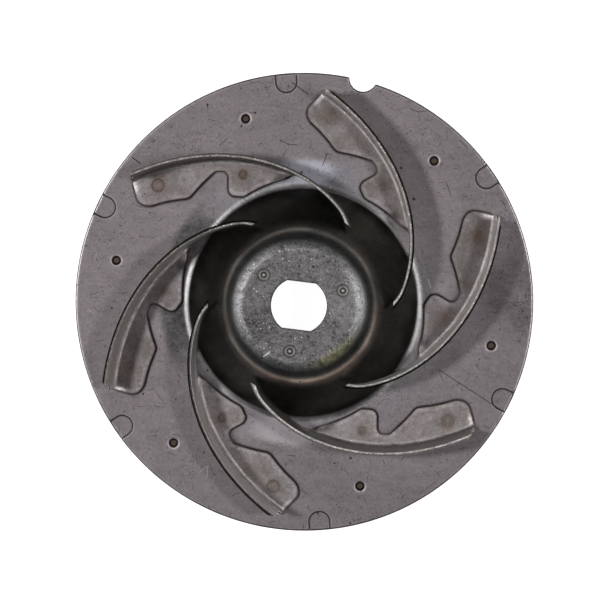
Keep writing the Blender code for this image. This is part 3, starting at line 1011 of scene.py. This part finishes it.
    # Dark rings and lines: painted shade in the dimples and rim marks, and dirt with painted contact
    # shadow along the feet.
    dirt_and_shade_lines = s.times(s.mark("grime"), s.math("MULTIPLY_ADD", s.rise(mottle, -1, 0.5), 0.27, 0.73))
    dark = s.both((pits, 0.75), dirt_and_shade_lines, (scuffs, 0.8))
    scored = s.times(s.strokes(SCRATCHES), front)
    bright = s.both((s.strokes(BRIGHT_SCRATCHES), front), s.mark("gleam"))
    dark = s.both(dark, (scored, s.rise(mottle, -1.4, 0)))
    s.coat((s.rise(smear, 0.1, 1.2), flat, 0.35), (0.33, 0.27, 0.25))
    s.coat(dark, (0.035, 0.028, 0.026))
    s.coat(bright, (0.85, 0.82, 0.8))
    s.coat((s.mark("hole"), s.rise(dark, 0.9, 0.3)), (0.17, 0.125, 0.095))
    s.coat((s.mark("heat"), 0.35), (0.25, 0.19, 0.17))
    roughness = s.add(
        0.7, (s.rise(radius, 13.6, 14.6), -0.22), (s.rise(radius, 15.9, 17.3), -0.15),
        (s.rise(radius, 29.3, 30), 0.08), (s.rise(radius, 31, 31.9), 0.185),
        (s.rise(radius, 36, 38.6), 0.125), (broad, 0.02), (cloud, 0.02),
        (mottle, s.math("MULTIPLY_ADD", top, 0.05, 0.015)), (dark, 0.15), (s.mark("lip"), -0.1),
        (rolled, -0.44),
    )
    height = s.add(
        (grain, s.math("MULTIPLY_ADD", top, 0.012, 0.003)),
        (mottle, s.math("MULTIPLY_ADD", top, 0.02, 0.002)), (streaks, drawn, 0.002), (broad, 0.03),
        (specks, -0.02), (pits, -0.03), (scored, -0.03), (bright, -0.03),
    )
    return s.finish(roughness, height)


def vane_steel():
    """Browned by the welds, scuffed along the bend, dirty along the foot's edge with painted shade there,
    and painted lighter on the bend, the walls and the foot's ends as painted highlights.
    """
    s = Steel("vane_face")
    s.place = s.mark("pattern", "Vector")
    up = s.split(s.place)["Y"]
    foot = s.fall(up, -BEND_LENGTH, -BEND_LENGTH * 0.7)
    bend = s.band(up, -BEND_LENGTH - 0.2, -BEND_LENGTH + 0.3, -1, 0.3)
    upper = s.rise(up, -1.7, -0.9)
    lengthwise = s.vector("MULTIPLY", s.place, (0.07, 1, 1))
    broad = s.noise(7, detail=3, shift=11)
    cloud = s.noise(3.2, detail=4, rough=0.6, shift=51)
    mottle = s.noise(1.3, detail=4, rough=0.65, shift=13)
    fine = s.noise(0.5, rough=0.6, shift=61)
    grain = s.noise(0.28, rough=0.6, shift=17)
    drag = s.noise(0.35, rough=0.6, place=lengthwise)
    pits = s.pits(2.2, 0.26, 0.25, shift=2)
    glints = s.both(bend, (s.rise(cloud, 0, 1), 0.8))
    glints = s.times(s.pits(0.6, 0.17, 0.4, shift=35), glints)
    edge = s.mark("edge")
    s.colour = s.tint(s.rise(broad, -0.7, 0.9), (0.36, 0.328, 0.336), (0.28, 0.25, 0.24))
    s.coat((s.rise(cloud, -0.2, 1.2), 0.6), (0.2, 0.165, 0.14))
    # Each vane a little lighter or darker: partly its own tone, partly painted light and shade.
    s.shade(s.mark("tone"))
    # The bend is painted lighter: a painted highlight, stronger on some vanes.
    bend_highlight = s.times(bend, s.rise(mottle, -2, 0.2))
    s.coat(bend_highlight, s.vector("SCALE", (0.56, 0.525, 0.515), Scale=s.mark("bend_tone")))
    # The wall is painted lighter or darker on each vane: painted light and shade.
    s.coat(upper, s.vector("SCALE", (0.52, 0.485, 0.475), Scale=s.mark("wall_tone")))
    s.coat((s.mark("stain"), 0.75), (0.17, 0.122, 0.095))
    # Painted highlights at the foot's outer end and its inner tip.
    shine = s.mark("shine")
    s.coat((shine, s.rise(mottle, -2.2, -0.2), 0.85), (0.9, 0.84, 0.83))
    burnt = s.times(s.mark("weld"), s.rise(mottle, -1.8, 0.2), 0.85)
    s.coat(burnt, (0.12, 0.072, 0.045))
    border = s.times(foot, s.band(edge, 0.02, 0.08, 0.2, 0.32), s.rise(mottle, -1.2, 0.8))
    stretched = s.vector("MULTIPLY", s.place, (0.05, 1, 1))
    bands = s.noise(2.2, rough=0.6, place=stretched)
    shade = s.add(
        1, (mottle, 0.24), (fine, 0.22), (border, 0.35), (bands, upper, 0.2),
        (drag, s.both(bend, (upper, 0.55)), 0.42), (glints, 0.9),
    )
    s.shade(s.both(shade, DARKEST))
    worn = s.math("MULTIPLY_ADD", s.rise(mottle, -0.8, 0.6), 0.5, 0.45)
    # A dark line along the foot's edge: partly dirt, partly painted shade.
    soiled = s.times(foot, s.rise(edge, 0.4, 0.85), worn, s.mark("line"))
    dark = s.both((pits, 0.6), soiled)
    convex = s.math("LESS_THAN", s.mark("level"), 0.5)
    # A near-black line along the top edge's convex corner: painted shade.
    burr = s.times(s.rise(up, -1, 4), s.rise(edge, 0.25, 0.45), convex, s.mark("burr"))
    s.coat(dark, (0.05, 0.042, 0.036))
    s.coat(burr, (0.015, 0.013, 0.012))
    roughness = s.add(
        0.62, (bend, -0.04), (shine, -0.1), (mottle, 0.03), (broad, 0.03), (dark, 0.15), (glints, -0.1),
    )
    height = s.add(
        (grain, 0.003), (mottle, 0.004), (drag, s.both(bend, upper), 0.006), (pits, -0.03),
        (broad, 0.05), (cloud, 0.012),
    )
    return s.finish(roughness, height)


def vane_rim_steel():
    """A vane's sheared edge: painted black shade along its convex corner, dark along the foot, scored
    along its length, with glints.
    """
    s = Steel("vane_rim")
    place = s.place
    s.place = s.mark("pattern", "Vector")
    run, up, own = s.split(s.place).values()
    level = s.mark("level")
    # Long along the edge and short through the sheet
    layers = s.node("CombineXYZ", s.times(run, 0.12), level, own).outputs["Vector"]
    upper = s.rise(up, -1, 4)
    tip = s.rise(run, 48, 62)
    lines = s.noise(0.22, rough=0.6, place=layers)
    mottle = s.noise(0.9, detail=3, shift=19)
    cloud = s.noise(5, shift=71)
    s.place = place
    grain = s.noise(0.24, detail=3, rough=0.7, shift=23)
    glints = s.pits(0.5, 0.2, 0.45, shift=27)
    s.colour = s.tint(s.rise(cloud, -0.8, 0.8), (0.62, 0.57, 0.56), (0.5, 0.45, 0.42))
    # Each vane's edge lighter or darker: painted light and shade.
    s.shade(s.mark("rim_tone"))
    # Lighter towards the inner tip: painted highlight.
    s.coat((tip, 0.45), (0.8, 0.77, 0.74))
    # The foot's sheared edges are dark: partly dirt, partly painted shade.
    s.colour = s.tint(upper, (0.12, 0.1, 0.09), s.colour)
    shade = s.add(1, (mottle, 0.3), (grain, 0.45), (lines, 0.7))
    shade = s.add(shade, (glints, 2.2))
    s.shade(s.both(shade, DARKEST_RIM))
    # The near-black line along the convex corner: painted shade.
    burr = s.times(upper, s.fall(level, 0.15, 0.48), s.mark("burr"))
    s.coat((burr, 0.97), (0.02, 0.018, 0.017))
    roughness = s.add(0.5, (mottle, 0.06), (grain, 0.04), (lines, 0.04))
    height = s.add((grain, 0.02), (mottle, 0.02), (lines, 0.03))
    return s.finish(roughness, height)


def disc_rim_steel():
    """The disc's sheared edge: fine upright score lines, bright above and torn below."""
    s = Steel("disc_rim")
    upright = s.vector("MULTIPLY", s.place, (1, 1, 0.08))
    torn = s.fall(s.split(s.place)["Z"], 0.35, 0.75)
    lines = s.noise(0.25, rough=0.6, place=upright)
    mottle = s.noise(1.2, detail=3, shift=19)
    grain = s.noise(0.22, detail=3, rough=0.7, shift=23)
    s.colour = s.tint(torn, (0.52, 0.48, 0.47), (0.36, 0.32, 0.3))
    shade = s.add(1, (mottle, 0.15), (grain, torn, 0.25), (lines, 0.15))
    s.shade(s.both(shade, DARKEST_RIM))
    roughness = s.add(0.46, (torn, 0.14), (mottle, 0.05))
    height = s.add((lines, 0.006), (grain, torn, 0.02), (mottle, 0.01))
    return s.finish(roughness, height)


def add_object(name, data):
    obj = bpy.data.objects.new(name, data)
    scene.collection.objects.link(obj)
    return obj


def add_piece(name, mesh, slots, materials, node):
    """Puts a mesh and its materials in the place of a node of the solids."""
    obj = add_object(name, mesh)
    for material in materials:
        mesh.materials.append(material)
    mesh.polygons.foreach_set("material_index", slots)
    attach(obj, "root")
    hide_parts(node)


disc_face = disc_steel()
disc_rim = disc_rim_steel()
vane_face = vane_steel()
vane_rim = vane_rim_steel()
points, faces, loops = build_vane_pattern()
mesh, index = build_disc(loops[0])
add_piece("disc_sheet", mesh, index, [disc_face, disc_rim], "disc")
for copy in range(COPIES):
    name = f"vane_sheet_{copy + 1}"
    mesh, index = sheet_mesh(name, points, faces, loops, vane_surface, vane_marks(copy), RIM_LEVELS)
    mesh.transform(Matrix.Rotation(-TURNS[copy], 4, "Z"))
    add_piece(name, mesh, index, [vane_face, vane_rim], f"vane_{copy + 1}")

# Camera at the photo's angle
CAMERA_TILT = radians(3.7)
CAMERA_AZIMUTH = radians(35)
CAMERA_DISTANCE = 480 * MM
CAMERA_LENS = 108.2
CAMERA_SHIFT = 0.00434
back = Vector((*polar(sin(CAMERA_TILT), CAMERA_AZIMUTH), cos(CAMERA_TILT)))
right = Vector((0, 1, 0)).cross(back).normalized()
camera = add_object("camera", bpy.data.cameras.new("camera"))
aim = Vector((0, 0, DISC_SHEET * MM))
turn = Matrix((right, back.cross(right), back)).transposed().to_4x4()
camera.matrix_world = Matrix.Translation(aim + back * CAMERA_DISTANCE) @ turn
camera.data.lens = CAMERA_LENS
camera.data.shift_x = CAMERA_SHIFT
camera.data.shift_y = -CAMERA_SHIFT
scene.camera = camera


def softbox(name, place, size, power):
    """A round soft light that faces the part."""
    light = bpy.data.lights.new(name, "AREA")
    light.shape = "DISK"
    light.size = size
    light.energy = power
    obj = add_object(name, light)
    obj.location = place
    obj.rotation_euler = Vector(place).to_track_quat("Z", "Y").to_euler()


SOFTBOX_SIZE = 0.07
softbox("left_softbox", (-0.262, 0.035, 0.5), SOFTBOX_SIZE, 1.05)
softbox("right_softbox", (0.255, 0.013, 0.5), SOFTBOX_SIZE, 0.72)

WORLD_GREY = (0.5, 0.5, 0.5, 1)
WORLD_STRENGTH = 0.04
world = bpy.data.worlds.new("studio")
world.use_nodes = True
background = world.node_tree.nodes["Background"]
background.inputs["Color"].default_value = WORLD_GREY
background.inputs["Strength"].default_value = WORLD_STRENGTH
scene.world = world
scene.view_settings.view_transform = "Standard"

# A pale floor, which shows as white as the photo's background
FLOOR_HALF = 2
FLOOR_DROP = 0.0001
FLOOR_COLOUR = (0.9, 0.9, 0.9, 1)
FLOOR_GLOW = 0.9
corners = [(x * FLOOR_HALF, y * FLOOR_HALF, 0) for x, y in ((-1, -1), (1, -1), (1, 1), (-1, 1))]
floor_mesh = bpy.data.meshes.new("floor")
floor_mesh.from_pydata(corners, [], [(0, 1, 2, 3)])
floor = add_object("floor", floor_mesh)
floor.location.z = -FLOOR_DROP
floor_material = bpy.data.materials.new("floor")
floor_material.use_nodes = True
shader = floor_material.node_tree.nodes["Principled BSDF"]
shader.inputs["Base Color"].default_value = FLOOR_COLOUR
shader.inputs["Emission Color"].default_value = (1, 1, 1, 1)
shader.inputs["Emission Strength"].default_value = FLOOR_GLOW
floor_mesh.materials.append(floor_material)
